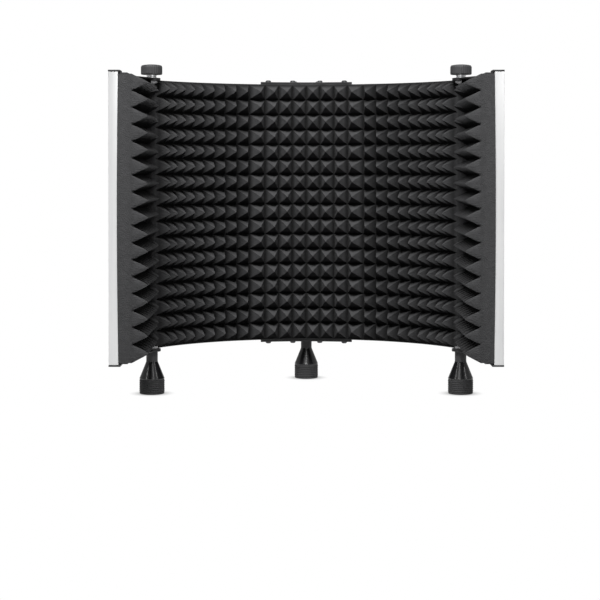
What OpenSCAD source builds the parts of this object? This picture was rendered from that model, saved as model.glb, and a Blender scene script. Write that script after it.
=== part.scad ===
// Folding microphone isolation shield: a curved foam-lined shell with two hinged wings,
// on three screw feet, with a height-adjustable stand socket on its back.
// Millimetres, +Z up, -Y towards the microphone. The origin is on the floor, at the middle of the box.

/* [Shell] */
// Radius of the shell at the front edge of its rails
rail_r = 210; // [205:1:215]
// Height of the shell over its rails
shell_h = 322.3; // [300:1:330]
// Angle from the middle of the shell to each of its ends
end_angle = 63.2; // [63:0.1:63.4]
// Thickness of the perforated steel panels
panel_t = 1.2; // [0.8:0.1:1.2]
// Thickness of the rails and hinge plates
rail_t = 1.5; // [1.2:0.1:1.6]
// Height of the rails' riveted legs
rail_leg_h = 12; // [10:1:15]

/* [Foam] */
// Thickness of the foam behind the pyramids
foam_base = 15; // [13:1:15]
// Height of the pyramids
tooth_h = 19; // [12:1:19]
// Angle from the middle of the shell to each foam seam
seam_angle = 20.56; // [18:0.5:24]

/* [Wings] */
// Distance from the middle of the shield to the inner face of each wing's foam base
wing_x = 192.5; // [192:0.5:194]
// Distance from the middle to each hinge axis
hinge_x = 184; // [183.5:0.5:184]
// Length of each wing, from its front edge to the hinge axis
wing_len = 141; // [130:1:150]
// Width of the aluminium edge strip, seen from the front
strip_w = 10.7; // [10:0.1:12]
// Depth of the edge strip's hollow profile
strip_d = 20; // [16:1:24]
// Height of the edge strip with its end caps
strip_h = 328; // [326:1:330]

/* [Fasteners] */
// Diameter of the hinge bolts and foot studs
stud_d = 8; // [8:8]
// Diameter of the bolts in the middle plates
bolt_d = 4; // [3:0.5:4]
// Diameter of the clamp knobs
knob_d = 25.5; // [22:0.5:26]
// Height of the clamp knobs
knob_h = 12.2; // [10:0.2:14]

/* [Feet] */
// Diameter of the rubber feet
foot_d = 30; // [26:1:32]
// Height of the rubber pad
pad_h = 17.6; // [14:0.2:20]
// Height of the foot's cone
cone_h = 20.6; // [18:0.2:24]

/* [Stand mount] */
// Half length of the arc of the middle plates
plate_half_w = 57.5; // [54:0.5:60]
// Thickness of the middle plates
plate_t = 3; // [2.5:0.5:3.5]
// Width of the rear spine
spine_w = 50; // [44:1:54]
// Height of the stand carriage's middle above the middle of the shell
carriage_z = -40; // [-60:1:-30]
// Wall radius of the 5/8 inch stand thread
thread_r = 7.45; // [7.45:0.01:7.94]

/* [Hidden] */
$fn = 64;

// Small gaps: a running fit on a stud, a hinge plate over a rail, and a foot under a plate
fit = 0.06;
glide = 0.2;
gap = 0.1;

// Heights, counted from the middle of the shell
half_h = shell_h / 2;
foam_half = half_h - rail_t;
hinge_top = half_h + rail_t;
stem_h = 12.15;
foot_h = pad_h + cone_h + stem_h;
mid_z = foot_h + gap + hinge_top;

// Plan: the shell's arc is struck from arc_y behind the front of the wings, and passes through the hinges
rail_w = 10;
face_r = rail_r - (foam_base - rail_w);
foam_back_r = rail_r + rail_w;
leg_r = foam_back_r + panel_t;
rail_back_r = leg_r + rail_t;
hinge_angle = asin(hinge_x / face_r);
tip_r = face_r - tooth_h;
socket_r = 14;
carriage_d = 13;
spine_gap = 3.2;
spine_t = 2.5;
spine_flange_d = 18;
arc_from_front = wing_len - face_r * cos(hinge_angle);
spine_from_front = arc_from_front + rail_back_r + spine_gap - 1.5;
socket_from_front = spine_from_front + spine_t + carriage_d + 26;
cap_lip = 0.4;
depth = socket_from_front + socket_r;
front_y = -(depth - cap_lip) / 2;
arc_y = front_y + arc_from_front;
hinge_y = front_y + wing_len;
spine_y = front_y + spine_from_front;
socket_y = front_y + socket_from_front;
rear_foot_y = spine_y + spine_t + 8.3;

// Hinge hardware
lug_r = 10.5;
lug_gap = 1.5;
nut_af = 13;
nut_r = nut_af / 2 / cos(30);
nut_h = 3.6;
stud_out = 4;
stud_r = stud_d / 2;
bolt_r = bolt_d / 2;
stud_tip = foam_half - nut_h - stud_out;
foam_end = hinge_angle - 2.7;
tooth_end = hinge_angle - 5.9;
wing_foam_end = wing_len - 13;
wing_tooth_end = wing_foam_end - 8.5;

// Wing section, from the foam's face to the back of the rail
wing_back = wing_x + foam_base;
wing_leg = wing_back + panel_t;
wing_rail_back = wing_leg + rail_t;
strip_x = wing_back + 0.1;
strip_t = 1.5;
cap_t = 2;
wing_end = wing_len - 1.5;

// Rows of fasteners
rivet_r = 2;
rivet_dome_h = 1.3;
rivet_z = half_h - rail_leg_h / 2 - 1;
plate_rivet_r = 1.6;
rivet_angles = [-56 : 16 : 56];
wing_rivets = [42, 76, 110];
bolt_arc_r = rail_r + 5.3;
bolt_angles = [-12.9, -4.56, 4.56, 12.9];
spine_bolt_x = 15;

// Colours
black = [0.09, 0.09, 0.10];
charcoal = [0.22, 0.22, 0.23];
silver = [0.80, 0.81, 0.82];
steel = [0.62, 0.62, 0.63];
rubber = [0.14, 0.14, 0.14];

// ---- Placing ----
module at_mid() translate([0, 0, mid_z]) children();
module on_arc() translate([0, arc_y, mid_z]) children();
module lower() mirror([0, 0, 1]) children();
module left() mirror([1, 0, 0]) children();
module at_front() translate([0, front_y, mid_z]) children();
module at_hinge() translate([hinge_x, hinge_y, mid_z]) children();
module at_rear_foot() translate([0, rear_foot_y, mid_z]) children();

// A profile in radius and height, swept round the arc between two angles from +Y towards +X
module sweep(from, to) rotate([0, 0, 90 - to]) rotate_extrude(angle = to - from, $fn = 180) children();

// A point of the arc, with +X pointing outwards
module at_angle(a, r) rotate([0, 0, 90 - a]) translate([r, 0, 0]) children();

// ---- Shell ----
module back_panel() color(black) on_arc() difference() {
    sweep(-end_angle, end_angle)
        translate([foam_back_r, -foam_half]) square([panel_t, 2 * foam_half]);
    rivet_holes();
}

module rivet_holes() for (a = rivet_angles, s = [-1, 1])
    at_angle(a, foam_back_r - 1)
        translate([0, 0, s * rivet_z])
            rotate([0, 90, 0]) cylinder(r = rivet_r, h = 6);

// An angle rail: a flat leg over the foam and a riveted leg behind the panel, with a hinge lug at each end
module rail() difference() {
    union() {
        sweep(-end_angle, end_angle)
            translate([rail_r, foam_half]) square([rail_back_r - rail_r, rail_t]);
        sweep(-end_angle, end_angle)
            translate([leg_r, half_h - rail_leg_h]) square([rail_t, rail_leg_h]);
        for (s = [0, 1]) mirror([s, 0, 0]) {
            at_angle(hinge_angle, face_r) translate([0, 0, foam_half]) cylinder(r = lug_r, h = rail_t);
        }
    }
    for (s = [0, 1]) mirror([s, 0, 0]) at_angle(hinge_angle, face_r) {
        translate([0, 0, half_h - glide]) cylinder(r = lug_r + lug_gap, h = 5);
        translate([0, 0, foam_half - 5]) cylinder(r = stud_r + fit, h = 20);
    }
    rivet_holes();
    for (a = bolt_angles) at_angle(a, bolt_arc_r)
        translate([0, 0, foam_half - 5]) cylinder(r = bolt_r + 0.1, h = 20);
}

module top_rail() color(black) on_arc() rail();
module bottom_rail() color(black) on_arc() lower() rail();

module rail_rivets() color(steel) on_arc() for (a = rivet_angles, s = [-1, 1])
    at_angle(a, foam_back_r)
        translate([0, 0, s * rivet_z]) domed_rivet();

// A rivet along +X from the inside face of the panel, with a low dome on the rail's back
module domed_rivet() {
    through = panel_t + rail_t;
    dome_r = (4 * rivet_r * rivet_r + rivet_dome_h * rivet_dome_h) / (2 * rivet_dome_h);
    rotate([0, 90, 0]) cylinder(r = rivet_r, h = through);
    translate([through, 0, 0]) rotate([0, 90, 0]) intersection() {
        translate([0, 0, rivet_dome_h - dome_r]) sphere(r = dome_r);
        cylinder(r = 2 * rivet_r, h = rivet_dome_h + 1);
    }
}

// ---- Foam ----
module foam_section() polygon([
    [foam_back_r, -foam_half], [foam_back_r, foam_half], [face_r, foam_half],
    [tip_r, foam_half - 9.2], [tip_r, 10.2 - foam_half], [face_r, -foam_half]
]);

module foam_base_section() translate([face_r, -foam_half]) square([foam_base, 2 * foam_half]);

module foam_centre() color(charcoal) on_arc() difference() {
    sweep(0.06 - seam_angle, seam_angle - 0.06) foam_section();
    for (a = bolt_angles, s = [0, 1]) mirror([0, 0, s]) at_angle(a, bolt_arc_r)
        translate([0, 0, foam_half - 6]) cylinder(r = bolt_d + 0.5, h = 10);
}

module foam_side() {
    sweep(seam_angle + 0.06, tooth_end) foam_section();
    sweep(tooth_end, foam_end) foam_base_section();
}

module foam_right() color(charcoal) on_arc() foam_side();
module foam_left() color(charcoal) left() on_arc() foam_side();

// ---- Middle plates and the rear spine ----
module middle_plate() translate([0, 0, half_h]) difference() {
    union() {
        intersection() {
            sweep(-30, 30) translate([rail_r + 1.5, 0]) square([rail_back_r - rail_r, plate_t]);
            translate([-plate_half_w, 0, -1]) cube([2 * plate_half_w, 400, plate_t + 2]);
        }
        translate([-spine_w / 2, foam_back_r, 0])
            cube([spine_w, spine_y - arc_y + spine_flange_d + 1 - foam_back_r, plate_t]);
    }
    for (a = bolt_angles) at_angle(a, bolt_arc_r)
        translate([0, 0, -5]) cylinder(r = bolt_r + 0.1, h = 20);
    for (x = [-spine_bolt_x, spine_bolt_x]) translate([x, rear_foot_y - arc_y, -5])
        cylinder(r = bolt_r + 0.1, h = 20);
}

module top_plate() color(black) on_arc() middle_plate();
module bottom_plate() color(black) difference() {
    on_arc() lower() middle_plate();
    at_rear_foot() lower() cylinder(r = stud_r + fit, h = 200);
}

// A pan-head bolt and its nut, which clamp the stack between the heights given
module bolt(under, over) {
    translate([0, 0, under - 4.2]) cylinder(r = bolt_r, h = over - under + 4.2);
    translate([0, 0, over]) cylinder(r = bolt_r * 1.75, h = 1.4);
    translate([0, 0, over + 1.4]) cylinder(r = bolt_r * 1.4, h = 0.8);
}

module nut(under) translate([0, 0, under - 3.2]) difference() {
    cylinder(r = bolt_r * 1.75 / cos(30), h = 3.2, $fn = 6);
    translate([0, 0, -1]) cylinder(r = bolt_r, h = 10);
}

module plate_bolt_places() {
    on_arc() for (a = bolt_angles, s = [0, 1]) mirror([0, 0, s]) at_angle(a, bolt_arc_r) children(0);
    at_rear_foot() for (x = [-spine_bolt_x, spine_bolt_x], s = [0, 1]) mirror([0, 0, s])
        translate([x, 0, 0]) children(1);
}

module plate_bolts() color(black) plate_bolt_places() {
    bolt(foam_half, half_h + plate_t);
    bolt(half_h - spine_t, half_h + plate_t);
}

module plate_nuts() color(steel) plate_bolt_places() {
    nut(foam_half);
    nut(half_h - spine_t);
}

// A folded channel behind the shell, closed at both ends by flanges under the middle plates
module rear_spine() color(black) translate([0, spine_y, mid_z]) difference() {
    union() {
        translate([-spine_w / 2, 0, -half_h]) cube([spine_w, spine_t, shell_h]);
        for (s = [0, 1]) mirror([s, 0, 0])
            translate([spine_w / 2 - spine_t, 0, -half_h]) cube([spine_t, spine_flange_d, shell_h]);
        for (s = [0, 1]) mirror([0, 0, s])
            translate([-spine_w / 2, 0, half_h - spine_t]) cube([spine_w, spine_flange_d, spine_t]);
    }
    spine_slot();
    for (x = [-spine_bolt_x, spine_bolt_x], s = [0, 1]) mirror([0, 0, s])
        translate([x, rear_foot_y - spine_y, half_h - 10]) cylinder(r = bolt_r + 0.1, h = 20);
    translate([0, rear_foot_y - spine_y, -half_h - 10]) cylinder(r = stud_r + fit, h = 20);
}

// The slot in which the carriage bolt slides
slot_low = carriage_z - 54;
slot_high = carriage_z + 86;
module spine_slot() translate([0, -5, 0]) rotate([-90, 0, 0]) {
    for (z = [slot_low, slot_high]) translate([0, -z, 0]) cylinder(r = stud_r + 0.3, h = 15);
    translate([-stud_r - 0.3, -slot_high, 0]) cube([stud_d + 0.6, slot_high - slot_low, 15]);
}

module stud_nut() difference() {
    cylinder(r = nut_r, h = nut_h, $fn = 6);
    translate([0, 0, -1]) cylinder(r = stud_r + fit, h = 10);
}

module hinge_nuts() color(steel) {
    for (m = [0, 1], s = [0, 1]) mirror([m, 0, 0]) at_hinge() mirror([0, 0, s])
        translate([0, 0, foam_half - nut_h]) stud_nut();
    at_rear_foot() lower() translate([0, 0, half_h - spine_t - nut_h]) stud_nut();
}

// ---- Wings, drawn on the right ----
module wing_rivet_holes() for (y = wing_rivets, s = [-1, 1])
    translate([wing_back - 1, y, s * rivet_z])
        rotate([0, 90, 0]) cylinder(r = rivet_r, h = 6);

module wing_panel() at_front() difference() {
    translate([wing_back, strip_t + 0.1, -foam_half])
        cube([panel_t, wing_end - strip_t - 0.1, 2 * foam_half]);
    wing_rivet_holes();
}

module wing_rail() difference() {
    union() {
        translate([wing_x + foam_base - rail_w, strip_t + 0.1, foam_half])
            cube([rail_w + panel_t, wing_end - strip_t - 0.1, rail_t]);
        translate([wing_leg - 1, strip_d + 0.3, foam_half])
            cube([rail_t + 1, wing_end - strip_d - 0.3, rail_t]);
        translate([wing_leg, strip_d + 0.3, half_h - rail_leg_h])
            cube([rail_t, wing_end - strip_d - 0.3, rail_leg_h]);
    }
    wing_rivet_holes();
    hinge_plate_rivet_holes();
}

module wing_rivet_set() at_front() {
    for (y = wing_rivets, s = [-1, 1])
        translate([wing_back, y, s * rivet_z]) domed_rivet();
    for (s = [0, 1]) mirror([0, 0, s]) translate([hinge_x, wing_len, 0])
        for (p = hinge_plate_rivets) translate([p[0], p[1], foam_half]) {
            cylinder(r = plate_rivet_r, h = 2 * rail_t);
            translate([0, 0, 2 * rail_t]) cylinder(r = 2.8, h = 0.8);
        }
}

hinge_plate_rivets = [[19.5, -24], [19.5, -37]];
module hinge_plate_rivet_holes() translate([hinge_x, wing_len, 0])
    for (p = hinge_plate_rivets) translate([p[0], p[1], foam_half - 5]) cylinder(r = plate_rivet_r, h = 20);

// A plate riveted on the wing's rail, which reaches in to the hinge bolt over the shell's lug
plate_reach = 44;
module hinge_plate() difference() {
    translate([hinge_x, wing_len, half_h]) {
        cylinder(r = lug_r, h = rail_t);
        linear_extrude(rail_t) polygon([
            [lug_r - 0.1, -1], [wing_rail_back - hinge_x, -15], [wing_rail_back - hinge_x, -plate_reach],
            [wing_back - rail_w - hinge_x, -plate_reach], [-0.4 * lug_r, -0.91 * lug_r]
        ]);
    }
    translate([hinge_x, wing_len, 0]) cylinder(r = stud_r + fit, h = 200);
    hinge_plate_rivet_holes();
}

module wing_foam() color(charcoal) at_front() difference() {
    intersection() {
        translate([0, 0, -foam_half]) linear_extrude(2 * foam_half) polygon([
            [wing_back, 0.5], [wing_x - tooth_h, 0.5], [wing_x - tooth_h, wing_tooth_end],
            [wing_x, wing_foam_end], [wing_x, wing_end], [wing_back, wing_end]
        ]);
        rotate([90, 0, 0]) translate([0, 0, -200]) linear_extrude(400)
            translate([wing_x - face_r, 0]) foam_section();
    }
    for (s = [0, 1]) mirror([0, 0, s]) translate([hinge_x, wing_len, foam_half - 2])
        cylinder(r = lug_r + lug_gap, h = 10);
}

// A hollow aluminium profile whose front lip hides the edge of the panel
module edge_strip() color(silver) at_front() translate([0, 0, cap_t - strip_h / 2]) {
    linear_extrude(strip_h - 2 * cap_t) difference() {
        union() {
            translate([strip_x, 0]) square([strip_w, strip_t]);
            translate([wing_leg + 0.1, 0]) square([strip_x + strip_w - wing_leg - 0.1, strip_d]);
        }
        translate([wing_leg + 0.1 + strip_t, strip_t])
            square([strip_x + strip_w - wing_leg - 0.1 - 2 * strip_t, strip_d - 2 * strip_t]);
    }
}

// A moulded cap: a cover over the end of the strip, and a plug inside it
module edge_cap() at_front() {
    translate([strip_x - 2.3, -cap_lip, strip_h / 2 - cap_t])
        cube([strip_w + 2.5, strip_d + 2 * cap_lip, cap_t]);
    translate([wing_leg + 0.2 + strip_t, strip_t + 0.1, strip_h / 2 - cap_t - 12])
        cube([strip_x + strip_w - wing_leg - 0.3 - 2 * strip_t, strip_d - 2 * strip_t - 0.2, 12.5]);
}

module around_mid() translate([0, 0, mid_z]) mirror([0, 0, 1]) translate([0, 0, -mid_z]) children();

module right_wing_panel() color(black) wing_panel();
module right_wing_top_rail() color(black) at_front() wing_rail();
module right_wing_bottom_rail() color(black) at_front() lower() wing_rail();
module right_wing_rivets() color(steel) wing_rivet_set();
module right_wing_foam() wing_foam();
module right_edge_strip() edge_strip();
module right_top_cap() color(black) edge_cap();
module right_bottom_cap() color(black) around_mid() edge_cap();
module right_top_hinge_plate() color(black) at_front() hinge_plate();
module right_bottom_hinge_plate() color(black) at_front() lower() hinge_plate();

module left_wing_panel() left() right_wing_panel();
module left_wing_top_rail() left() right_wing_top_rail();
module left_wing_bottom_rail() left() right_wing_bottom_rail();
module left_wing_rivets() left() right_wing_rivets();
module left_wing_foam() left() right_wing_foam();
module left_edge_strip() left() right_edge_strip();
module left_top_cap() left() right_top_cap();
module left_bottom_cap() left() right_bottom_cap();
module left_top_hinge_plate() left() right_top_hinge_plate();
module left_bottom_hinge_plate() left() right_bottom_hinge_plate();

// ---- Clamp knobs ----
knob_z = 166.7;
bolt_head_z = knob_z + knob_h - 4;

// A turned knob with a low dome and broken edges, and a blind hole for its bolt
module knob_shape(h, d, hole) rotate_extrude() polygon([
    [stud_r, 0], [d / 2 - 0.8, 0], [d / 2, 0.8], [d / 2, h - 2.2], [d / 2 - 1.6, h - 0.8],
    [d / 4, h - 0.1], [0, h], [0, hole], [stud_r, hole]
]);

module clamp_knob() color(charcoal) at_hinge() translate([0, 0, knob_z])
    knob_shape(knob_h, knob_d, bolt_head_z - knob_z);
module clamp_bolt() color(steel) at_hinge() translate([0, 0, stud_tip])
    cylinder(r = stud_r, h = bolt_head_z - stud_tip);
module clamp_collar() color(silver) at_hinge() translate([0, 0, hinge_top + gap]) difference() {
    cylinder(r = 6, h = knob_z - hinge_top - gap);
    translate([0, 0, -1]) cylinder(r = stud_r, h = 10);
}

module right_knob() clamp_knob();
module right_knob_bolt() clamp_bolt();
module right_knob_collar() clamp_collar();
module left_knob() left() clamp_knob();
module left_knob_bolt() left() clamp_bolt();
module left_knob_collar() left() clamp_collar();

// ---- Feet, drawn downwards from the middle of the shell on their own axis ----
stem_r = 6.85;
spigot_r = 6;
spigot_h = 8;
module foot_cone(top) translate([0, 0, foot_h - mid_z]) lower() rotate_extrude() polygon([
    [stud_r, top + foot_h - mid_z], [stem_r, top + foot_h - mid_z], [stem_r, stem_h],
    [foot_d / 2, stem_h + cone_h], [spigot_r, stem_h + cone_h], [spigot_r, stem_h + cone_h + spigot_h],
    [0, stem_h + cone_h + spigot_h], [0, stem_h + 8], [stud_r, stem_h + 8]
]);

module foot_pad() translate([0, 0, -mid_z]) rotate_extrude() polygon([
    [0, 0], [foot_d / 2 - 1.3, 0], [foot_d / 2, 1.3], [foot_d / 2, pad_h],
    [spigot_r, pad_h], [spigot_r, pad_h - spigot_h], [0, pad_h - spigot_h]
]);

module foot_stud(tip) translate([0, 0, foot_h - stem_h - 8 - mid_z])
    cylinder(r = stud_r, h = mid_z - tip - foot_h + stem_h + 8);

hinge_foot_top = hinge_top + gap;
rear_foot_top = half_h + plate_t + gap;
rear_stud_tip = half_h - spine_t - nut_h - stud_out;

module right_foot_cone() color(black) at_hinge() foot_cone(hinge_foot_top);
module right_foot_stud() color(steel) at_hinge() foot_stud(stud_tip);
module right_foot_pad() color(rubber) at_hinge() foot_pad();
module left_foot_cone() left() right_foot_cone();
module left_foot_stud() left() right_foot_stud();
module left_foot_pad() left() right_foot_pad();
module rear_foot_cone() color(black) at_rear_foot() foot_cone(rear_foot_top);
module rear_foot_stud() color(steel) at_rear_foot() foot_stud(rear_stud_tip);
module rear_foot_pad() color(rubber) at_rear_foot() foot_pad();

// ---- Stand mount ----
carriage_w = spine_w - 2 * spine_t - 2;
carriage_y = spine_y + spine_t + 0.3;
carriage_back = carriage_y + carriage_d;
height_axis_z = carriage_z + 16;
bush_r = 10;
bush_l = 24;
boss_top = carriage_z - 1;
boss_low = carriage_z - 31;

module stand_carriage() color(black) at_mid() difference() {
    union() {
        translate([-carriage_w / 2, carriage_y, carriage_z - 32]) cube([carriage_w, carriage_d, 64]);
        translate([-12, carriage_back - 1, boss_low + 4]) cube([24, socket_y - carriage_back, 22]);
        translate([0, socket_y, boss_low]) cylinder(r = socket_r, h = boss_top - boss_low);
    }
    translate([0, socket_y, boss_low - 1]) cylinder(r = bush_r, h = bush_l + 1);
    translate([0, carriage_y - 1, height_axis_z]) rotate([-90, 0, 0])
        cylinder(r = stud_r, h = carriage_d + 2);
}

module stand_thread_bush() color(steel) at_mid() translate([0, socket_y, boss_low]) difference() {
    cylinder(r = bush_r, h = bush_l);
    translate([0, 0, -1]) cylinder(r = thread_r, h = bush_l + 2);
}

// The flat-headed bolt lies with its head in the gap between the shell and the spine
head_t = 2.6;
washer_t = 1.6;
module height_bolt() color(steel) at_mid() translate([0, spine_y - 0.2, height_axis_z]) rotate([-90, 0, 0]) {
    translate([0, 0, -head_t]) cylinder(r = 7.5, h = head_t);
    cylinder(r = stud_r, h = spine_t + 0.5 + carriage_d + washer_t + 10);
}

module height_washer() color(steel) at_mid()
    translate([0, carriage_back, height_axis_z]) rotate([-90, 0, 0]) difference() {
        cylinder(r = 8, h = washer_t);
        translate([0, 0, -1]) cylinder(r = stud_r, h = 5);
    }

module height_knob() color(charcoal) at_mid()
    translate([0, carriage_back + washer_t + gap, height_axis_z]) rotate([-90, 0, 0])
        difference() {
            knob_shape(knob_h + 3, knob_d + 2, 11);
            translate([0, 0, -1]) cylinder(r = stud_r + fit, h = 11.5);
        }

back_panel();
top_rail();
bottom_rail();
rail_rivets();
foam_centre();
foam_left();
foam_right();
top_plate();
bottom_plate();
plate_bolts();
plate_nuts();
rear_spine();
hinge_nuts();
left_wing_panel();
left_wing_top_rail();
left_wing_bottom_rail();
left_wing_rivets();
left_wing_foam();
left_edge_strip();
left_top_cap();
left_bottom_cap();
left_top_hinge_plate();
left_bottom_hinge_plate();
right_wing_panel();
right_wing_top_rail();
right_wing_bottom_rail();
right_wing_rivets();
right_wing_foam();
right_edge_strip();
right_top_cap();
right_bottom_cap();
right_top_hinge_plate();
right_bottom_hinge_plate();
left_knob();
left_knob_bolt();
left_knob_collar();
right_knob();
right_knob_bolt();
right_knob_collar();
left_foot_cone();
left_foot_stud();
left_foot_pad();
right_foot_cone();
right_foot_stud();
right_foot_pad();
rear_foot_cone();
rear_foot_stud();
rear_foot_pad();
stand_carriage();
stand_thread_bush();
height_bolt();
height_washer();
height_knob();
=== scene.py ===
import math

import bmesh
import bpy
from mathutils import Matrix, Vector, noise


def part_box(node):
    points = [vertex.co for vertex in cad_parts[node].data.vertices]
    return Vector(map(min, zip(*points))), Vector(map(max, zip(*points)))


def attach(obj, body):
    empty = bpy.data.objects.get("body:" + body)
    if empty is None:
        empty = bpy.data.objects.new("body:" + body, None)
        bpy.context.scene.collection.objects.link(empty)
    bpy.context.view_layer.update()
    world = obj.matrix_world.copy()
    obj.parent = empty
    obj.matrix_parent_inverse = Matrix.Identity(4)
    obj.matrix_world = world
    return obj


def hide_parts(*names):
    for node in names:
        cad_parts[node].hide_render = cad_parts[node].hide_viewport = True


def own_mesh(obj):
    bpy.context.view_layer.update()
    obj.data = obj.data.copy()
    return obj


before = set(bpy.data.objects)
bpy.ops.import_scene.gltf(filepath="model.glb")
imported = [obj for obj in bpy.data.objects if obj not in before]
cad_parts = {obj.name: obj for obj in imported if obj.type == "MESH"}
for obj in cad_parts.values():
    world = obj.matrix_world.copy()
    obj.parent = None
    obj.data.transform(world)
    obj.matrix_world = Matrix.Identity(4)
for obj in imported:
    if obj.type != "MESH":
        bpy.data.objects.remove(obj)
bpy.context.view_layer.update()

MM = 0.001
SIDES = ("left", "right")
SIGN = {"left": -1, "right": 1}

# ------------------------------
# The studio. The shield stands on a pale floor in a white room, under one broad soft light from
# above. Weaker cards of light stand in front of it, at both sides, low down and behind it.
# ------------------------------
front_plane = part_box("left_edge_strip")[0].y
shell_low, shell_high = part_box("back_panel")
mid_z = (shell_low.z + shell_high.z) / 2

LENS = 96
SENSOR = 36
CAMERA_GAP = 1.764
CAMERA_RISE = 0.0557
CAMERA_PITCH = math.radians(0.86)
SIDE_SHIFT = -0.0105
RISE_SHIFT = -0.22
ROOM_SEEN = 1.0
ROOM_MIRRORED = 0.35
ROOM_FILL = 0.02
FLOOR_R = 9.0
FLOOR_SIDES = 64
FLOOR_BOUNCE = 0.05
CONTACT_SHADE = 0.014


def put_in_scene(name, data):
    """A new object of the camera, light or mesh given."""
    thing = bpy.data.objects.new(name, data)
    bpy.context.scene.collection.objects.link(thing)
    return thing


def aim_camera():
    data = bpy.data.cameras.new("studio_camera")
    data.lens = LENS
    data.sensor_width = SENSOR
    data.shift_x = SIDE_SHIFT
    data.shift_y = RISE_SHIFT + math.tan(CAMERA_PITCH) * LENS / SENSOR
    camera = put_in_scene("studio_camera", data)
    camera.location = (0, front_plane - CAMERA_GAP, mid_z + CAMERA_RISE)
    camera.rotation_euler = (math.radians(90) - CAMERA_PITCH, 0, 0)
    bpy.context.scene.camera = camera


def soft_light(name, place, target, size, power):
    data = bpy.data.lights.new(name, "AREA")
    data.shape = "RECTANGLE"
    data.size, data.size_y = size
    data.energy = power
    lamp = put_in_scene(name, data)
    lamp.location = place
    lamp.rotation_mode = "QUATERNION"
    lamp.rotation_quaternion = (Vector(target) - Vector(place)).to_track_quat("-Z", "Y")
    lamp.visible_camera = False


def seen_as(tree, for_camera, for_gloss, otherwise):
    """Picks one of three shaders by what kind of ray meets the surface."""
    nodes, links = tree.nodes, tree.links
    path = nodes.new("ShaderNodeLightPath")
    inner, outer = nodes.new("ShaderNodeMixShader"), nodes.new("ShaderNodeMixShader")
    links.new(path.outputs["Is Glossy Ray"], inner.inputs["Fac"])
    links.new(otherwise, inner.inputs[1])
    links.new(for_gloss, inner.inputs[2])
    links.new(path.outputs["Is Camera Ray"], outer.inputs["Fac"])
    links.new(inner.outputs[0], outer.inputs[1])
    links.new(for_camera, outer.inputs[2])
    return outer.outputs[0]


def glow(tree, kind, strength):
    node = tree.nodes.new(kind)
    node.inputs["Color"].default_value = (1, 1, 1, 1)
    node.inputs["Strength"].default_value = strength
    return node


def white_room():
    """White to look at, greyer in reflections, and nearly dark as a source of light."""
    world = bpy.data.worlds.new("white_room")
    bpy.context.scene.world = world
    world.use_nodes = True
    tree = world.node_tree
    tree.nodes.clear()
    out = tree.nodes.new("ShaderNodeOutputWorld")
    strengths = (ROOM_SEEN, ROOM_MIRRORED, ROOM_FILL)
    room = [glow(tree, "ShaderNodeBackground", strength).outputs[0] for strength in strengths]
    tree.links.new(seen_as(tree, *room), out.inputs["Surface"])


def lay_floor():
    """A wide disc, white to look at, with a painted contact shadow close to what touches it, that
    bounces little.
    """
    mesh = bpy.data.meshes.new("floor")
    angles = [math.tau * i / FLOOR_SIDES for i in range(FLOOR_SIDES)]
    ring = [(FLOOR_R * math.cos(a), FLOOR_R * math.sin(a), 0) for a in angles]
    mesh.from_pydata(ring, [], [tuple(range(FLOOR_SIDES))])
    floor = put_in_scene("floor", mesh)
    material = bpy.data.materials.new("pale_floor")
    material.use_nodes = True
    tree = material.node_tree
    tree.nodes.clear()
    out = tree.nodes.new("ShaderNodeOutputMaterial")
    bounce = tree.nodes.new("ShaderNodeBsdfDiffuse")
    bounce.inputs["Color"].default_value = (FLOOR_BOUNCE, FLOOR_BOUNCE, FLOOR_BOUNCE, 1)
    contact_shadow = tree.nodes.new("ShaderNodeAmbientOcclusion")
    contact_shadow.inputs["Distance"].default_value = CONTACT_SHADE
    contact_shadow.inputs["Color"].default_value = (1, 1, 1, 1)
    seen, mirrored = (glow(tree, "ShaderNodeEmission", ROOM_SEEN) for _ in range(2))
    tree.links.new(contact_shadow.outputs["Color"], seen.inputs["Color"])
    surface = seen_as(tree, seen.outputs[0], mirrored.outputs[0], bounce.outputs[0])
    tree.links.new(surface, out.inputs["Surface"])
    floor.data.materials.append(material)


aim_camera()
white_room()
lay_floor()
bpy.context.scene.view_settings.view_transform = "Standard"
soft_light("overhead", (-0.14, -1.25, 1.75), (0, 0.05, 0.2), (0.8, 0.58), 43)
soft_light("front_card", (0.1, -3.4, 0.45), (0, 0, 0.25), (1.1, 1.6), 2.5)
soft_light("left_card", (-1.96, -1.3, 1.4), (0, 0, 0.1), (0.12, 0.9), 2.6)
soft_light("right_card", (1.96, -1.3, 1.4), (0, 0, 0.1), (0.12, 0.9), 2.6)
soft_light("low_card", (0, -0.42, 0.42), (0, 0, 0.03), (0.045, 0.2), 0.1)
soft_light("back_card", (0, 3.2, 1.6), (0, 0, 0.25), (2.6, 1.8), 26)

# ------------------------------
# Acoustic foam. Five pieces of charcoal open-cell foam, sawn into rows of square pyramids on a
# flat base and glued inside the panels: three on the curved shell, one on each wing. The saw
# leaves straight valleys and slightly blunt tips, and the face has the grain of the cut cells.
# Shade is painted into the foam's colour: dark in the valleys, and more of it on the side and wing
# pieces.
# ------------------------------
FOAM_BASE = 0.015
TOOTH = 0.019
FACE_R = 0.205
BACK_R = FACE_R + FOAM_BASE
SHEET = 0.0012
arc_y = shell_high.y - BACK_R - SHEET
foam_low, foam_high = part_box("foam_centre")
wing_face_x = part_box("right_wing_foam")[1].x - FOAM_BASE
knob_low, knob_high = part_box("right_knob")
hinge_x, hinge_y = (knob_low.x + knob_high.x) / 2, (knob_low.y + knob_high.y) / 2
HINGE_ANGLE = math.asin(hinge_x / FACE_R)
SEAM_ANGLE = math.radians(20.56)
SEAM_GAP = 0.0004
MIDDLE_COLUMN = math.radians(4.9)
SIDE_COLUMN = math.radians(4.67)
HINGE_RELIEF = math.radians(2.2)
MIDDLE_VALLEYS = 7
SIDE_VALLEYS = 9
WING_VALLEYS = 7
WING_END_GAP = 0.0015
ROWS = 17
FIRST_ROW = 0.0184
LAST_ROW = 0.0204
STEPS = 8
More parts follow.
